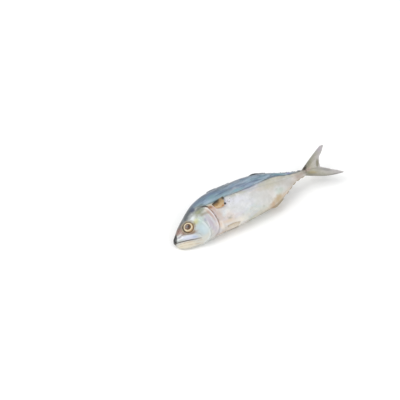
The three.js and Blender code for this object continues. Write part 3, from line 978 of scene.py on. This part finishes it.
# %% The finish of one kind of fin
def fin_finish(name, across, edge, rib, smoke, patches=(), ribs_show=0.55):
    """across are colours from the leading ray back, each with its share of the way."""
    made, tree, shader = new_material(name)
    ray = read(tree, "ray")
    u = node(tree, "SeparateXYZ", {0: ray}, "X")
    fish = read(tree, "fish")
    wander = calc("MULTIPLY_ADD", noise(fish, 0.3, 3), 0.16, -0.08)
    colour = ramp(calc("ADD", read(tree, "back_share", "Fac"), wander), across)
    colour = glaze(colour, smooth(u, 0.35, 1), 0.75, edge)
    mottle = smooth(noise(fish, 0.22, 4, 0.65), 0.45, 0.68)
    colour = glaze(colour, mottle, smoke, rib)
    for centre, radii, lean, code, strength in patches:
        colour = stain(fish, colour, centre, radii, lean, 0.7, 0.7, code, strength)
    ribs = use(fin_rays, Ray=ray, Branching=0.55)
    colour = mix(times(ribs["Rib"], ribs_show), colour, rgb(rib), "MULTIPLY")
    put(shader["Base Color"], colour)
    height = calc("ADD", ribs["Rib"], times(ribs["Joint"], 0.25))
    put(shader["Normal"], bump(height, 0.35, 0.0003))
    wet_look(shader, fish, 0.28, 0.5, 0.2, 0.2)
    return made


tail_finish = fin_finish(
    "tail fin",
    [(0, "9c9b95"), (0.06, "b7b5aa"), (0.3, "c4c1b3"), (0.5, "bbb9a6"), (0.7, "c9c7bb"),
     (0.94, "bfbdb3"), (1, "a6a49b")],
    "c3bec3", "ada99b", 0.5, [
        ((206.5, 0.8), (6, 2.8), 30, "4b3633", 0.7),
        ((210, -2.8), (7, 2.6), 10, "d0bbb5", 0.8),
        ((212.5, -9.4), (9, 3), -25, "c9bd98", 0.7),
        ((225.6, -1), (8.6, 2.8), 58, "6f6c4b", 0.75),
        ((222.5, -9), (8, 3.4), -36, "a09e94", 0.6),
        ((231, -14.6), (10, 3), -40, "8f8e8b", 0.65),
        ((216, 3.6), (10, 3.4), 36, "aaa792", 0.5),
        ((216, -4.9), (12, 0.8), -16, "857d70", 0.6),
        ((240, 15), (7, 4), 30, "beb6c0", 0.7),
    ], 0.45)
back_finish = fin_finish(
    "back fins", [(0, "2d3339"), (0.3, "353c43"), (0.7, "434c55"), (1, "566069")],
    "4b555e", "8b959e", 0.3)
belly_finish = fin_finish(
    "belly fins", [(0, "d0bd9f"), (0.4, "e0d6c6"), (1, "e6dfd2")], "e2d8c8", "cbbba0", 0.3)
folded_finish = fin_finish(
    "folded back fin and finlets", [(0, "46525e"), (0.5, "566675"), (1, "637383")],
    "66747f", "98a3ad", 0.3)
anal_finish = fin_finish(
    "anal fin and finlets", [(0, "b8a282"), (0.4, "c0b196"), (1, "b9ac98")], "bcb09c",
    "c8bba2", 0.3)
pectoral_finish = fin_finish(
    "pectoral fins",
    [(0, "10100c"), (0.16, "242116"), (0.27, "57462a"), (0.42, "9c7c4a"), (0.58, "c6a774"),
     (0.8, "dcc8a8"), (1, "cba179")],
    "c0a67c", "b8986a", 0.35, [
        ((81.5, 12.8), (4.4, 3.4), 0, "2b2c20", 0.95),
        ((75.4, 4.4), (2.8, 1.8), 0, "b0713f", 0.75),
        ((69, 8.8), (2.6, 2), 0, "86592d", 0.5),
    ], 0.4)

# %% Tail fin
TAIL_RAYS, TAIL_THICK, WRAP_START, WRAP_SHARE = 34, 1.3, 201.0, 0.12
TAIL_IN = 1.4  # how far the rays reach into the end of the stalk
SIDEWAYS = (0.0, 0.0, 1.0)
UPPER_BOW, LOWER_BOW = 0.5, 3.1
FORK = (226.4, -7.2)
upper_edge = smooth_line([(244, 19.2), (247.8, 17.2), (242, 11.6), (233.4, 5.6), (229.4, -0.6),
                          FORK], 20)
lower_edge = smooth_line([FORK, (232.6, -12.9), (239, -18.6), (245.4, -24), (250, -28.6),
                          (249.2, -29.4)], 20)
tail_edge = np.vstack([upper_edge, lower_edge[1:]])


def tail_surface(u, v):
    end = STALK_END - TAIL_IN
    from_side = np.minimum(v, 1 - v)
    wrap = from_side < WRAP_SHARE
    wrap_x = lerp(WRAP_START, end, from_side / WRAP_SHARE)
    wrap_y = np.where(v < 0.5, back_outline(wrap_x), belly_outline(wrap_x))
    down = (v - WRAP_SHARE) / (1 - 2 * WRAP_SHARE)
    root_x = np.where(wrap, wrap_x, end)
    root_y = np.where(wrap, wrap_y, lerp(back_outline(end), belly_outline(end), down))
    at = np.linspace(0, 1, len(tail_edge))
    edge_x, edge_y = (np.interp(v, at, tail_edge[:, k]) for k in (0, 1))
    x = lerp(root_x, edge_x, u)
    bow = np.where(v < 0.5, UPPER_BOW, LOWER_BOW)
    y = lerp(root_y, edge_y, u) + bow * np.sin(math.pi * u) * (1 - 2 * v)
    # the lower lobe lies over the upper one, and both are a little wavy
    over = 0.55 * (step_at(v - 0.5, 0.09) - 0.5) * np.minimum(1, u * 3)
    droop = 0.45 * np.sin(x * 0.14 + y * 0.11) * u + over
    point = together(x, y, droop)
    return point, np.broadcast_to(SIDEWAYS, point.shape)


grid, rays = fin_grid(tail_surface, TAIL_RAYS, 40, TAIL_THICK, 6, 0.03)
add_fin("tail_fin", grid, rays, tail_finish)
print("tail fin rays and points:", TAIL_RAYS, grid.shape[:2])

# %% [markdown]
# ## Fins of the back and the belly
# Out of water these fins fold back. The spiny first fin is a low ridge in its groove, the second
# lies against the back, and the finlets are small flaps along the tail stalk.

# %% Fins on the ridge
FIN_CLEARS, FIN_IN = 0.3, 0.9  # how far a fin's edge clears the skin, and how deep its root is


def ridge_surface(side, start, end, front, rear, lean, lean_rear):
    outline = back_outline if side > 0 else belly_outline

    def surface(u, v):
        x = lerp(start, end, v) + lerp(lean, lean_rear, v) * u
        tall = FIN_CLEARS + lerp(front, rear, v)
        y = lerp(outline(lerp(start, end, v)) - side * FIN_IN, outline(x) + side * tall, u)
        point = together(x, y, head_sag(x) + 0.35 * np.sin(v * 9.0) * u)
        return point, np.broadcast_to(SIDEWAYS, point.shape)

    return surface


FINLETS, FINLET_START, FINLET_PITCH, FINLET_LONG = 5, 164.0, 7.4, 4
RIDGE_FIN_THICK = 1.1
ridge_fins = [
    # name, side, start, end, front, rear, lean at the front and rear, rays, finish, slot
    ("first_dorsal_fin", 1, 70, 103, 1.6, 0.9, 4.0, 4.0, 12, folded_finish, "back_fin"),
    ("second_dorsal_fin", 1, 131, 153, 2.6, 0.9, 10.0, 4.0, 11, back_finish, "back_fin"),
    ("anal_fin", -1, 134, 155, 2.2, 0.9, 8.0, 4.0, 11, anal_finish, "belly_fin"),
]
for i in range(FINLETS):
    start = FINLET_START + i * FINLET_PITCH
    for name, side, finish, slot in [("dorsal", 1, folded_finish, "back_fin"),
                                     ("anal", -1, anal_finish, "belly_fin")]:
        ridge_fins.append((f"{name}_finlet_{i + 1}", side, start, start + FINLET_LONG, 0.85, 0.3,
                           2.6, 2.6, 4, finish, slot))
for name, side, start, end, front, rear, lean, lean_rear, count, finish, slot in ridge_fins:
    surface = ridge_surface(side, start, end, front, rear, lean, lean_rear)
    grid, rays = fin_grid(surface, count, 8, RIDGE_FIN_THICK, 4, 0.12)
    add_fin(name, grid, rays, finish)
print("ridge fins:", len(ridge_fins))

# %% [markdown]
# ## Paired fins
# The pectoral fin lies back along the flank from its root behind the gill cover, and its edge
# stands off the skin a little. The one under the fish is pressed into the flank.

# %% Fins on the flanks
PELVIC = ((69.5, -19.6), (70.5, -21.8)), ((89, -22.2), (86, -23.6))
PAIRED_FIN_THICK, PRESSED_IN = 0.9, 2.0


def flank_surface(side, outline, stand):
    def surface(u, v):
        ((rx, ry), (sx, sy)), ((ex, ey), (fx, fy)) = outline
        x = lerp(lerp(rx, sx, v), lerp(ex, fx, v), u)
        y = lerp(lerp(ry, sy, v), lerp(ey, fy, v), u)
        y = y + 0.8 * np.sin(math.pi * u) * (1 - 2 * v)
        point, across = on_flank(side, x, y)
        return point + across * np.broadcast_to(stand(u), point.shape[:-1])[..., None], across

    return surface


for side, word in ((1, "left"), (-1, "right")):
    stand = (lambda u: 0.1 + 1.5 * u) if side > 0 else (lambda u: -PRESSED_IN + 0 * u)
    surface = flank_surface(side, PECTORAL, stand)
    grid, rays = fin_grid(surface, 14, 24, PAIRED_FIN_THICK, 4, 0.10)
    add_fin(f"{word}_pectoral_fin", grid, rays, pectoral_finish)
    surface = flank_surface(side, PELVIC, lambda u: 0.2 + 0.6 * u)
    grid, rays = fin_grid(surface, 6, 20, PAIRED_FIN_THICK, 4, 0.08)
    add_fin(f"{word}_pelvic_fin", grid, rays, belly_finish)
print("paired fins, points in each pelvic fin:", grid.shape[:2])

# %% [markdown]
# ## Floor, light and camera
# A plain pale floor gives an even ground. A large soft light from above and behind the fish on
# the left shows the wet skin, a weaker one opposite it and a white sky lighten the shadows. The
# camera is a long lens from well above, so the fish shows with little perspective.

# %% Floor
floor_finish, tree, shader = new_material("pale floor")
speckle = noise(node(tree, "TexCoord", output="Object"), 9.0, 4.0)
put(shader["Base Color"], mix(speckle, rgb("fafafa"), rgb("fdfdfc")))
put(shader["Roughness"], smooth(speckle, 0.0, 1.0, 0.55, 0.65))
FLOOR_SIZE = 6.0
bpy.ops.mesh.primitive_plane_add(size=FLOOR_SIZE, location=(0, 0, 0))
floor = bpy.context.object
floor.name = "floor"
floor.data.materials.append(floor_finish)
print("floor, metres:", FLOOR_SIZE)

# %% Sky and soft lights
scene = bpy.context.scene
scene.world = bpy.data.worlds.new("white sky")
scene.world.use_nodes = True
sky = scene.world.node_tree.nodes["Background"].inputs
sky["Color"].default_value = (0.98, 0.99, 1.0, 1)
sky["Strength"].default_value = 0.70


def soft_light(name, place, power, size, colour=(1, 1, 1)):
    lamp = bpy.data.lights.new(name, "AREA")
    lamp.energy, lamp.size, lamp.color = power, size, colour
    made = bpy.data.objects.new(name, lamp)
    made.location = place
    made.rotation_euler = (-Vector(place)).to_track_quat("-Z", "Y").to_euler()
    scene.collection.objects.link(made)


soft_light("window", (-0.8, 0.6, 1.2), 14, 1.2, (1.0, 0.995, 0.98))
soft_light("fill", (0.7, -0.9, 0.8), 5, 1.2)
print("lights:", [lamp.name for lamp in bpy.data.lights])

# %% Camera
AZIMUTH, ELEVATION, LENS = math.radians(-34), math.radians(50), 135.0
AIM, DISTANCE = Vector((-0.0631, 0.0303, 0.020)), 1.9486
ahead = Vector((-math.sin(AZIMUTH) * math.cos(ELEVATION),
                math.cos(AZIMUTH) * math.cos(ELEVATION), -math.sin(ELEVATION)))
camera = bpy.data.objects.new("camera", bpy.data.cameras.new("camera"))
camera.data.lens, camera.data.sensor_width = LENS, 36.0
camera.data.clip_end = 20
camera.location = AIM - ahead * DISTANCE
camera.rotation_euler = ahead.to_track_quat("-Z", "Y").to_euler()
scene.collection.objects.link(camera)
bpy.context.scene.camera = camera
scene.view_settings.view_transform = "Standard"
scene.view_settings.look = "None"
print("camera at, metres:", [round(v, 3) for v in camera.location])
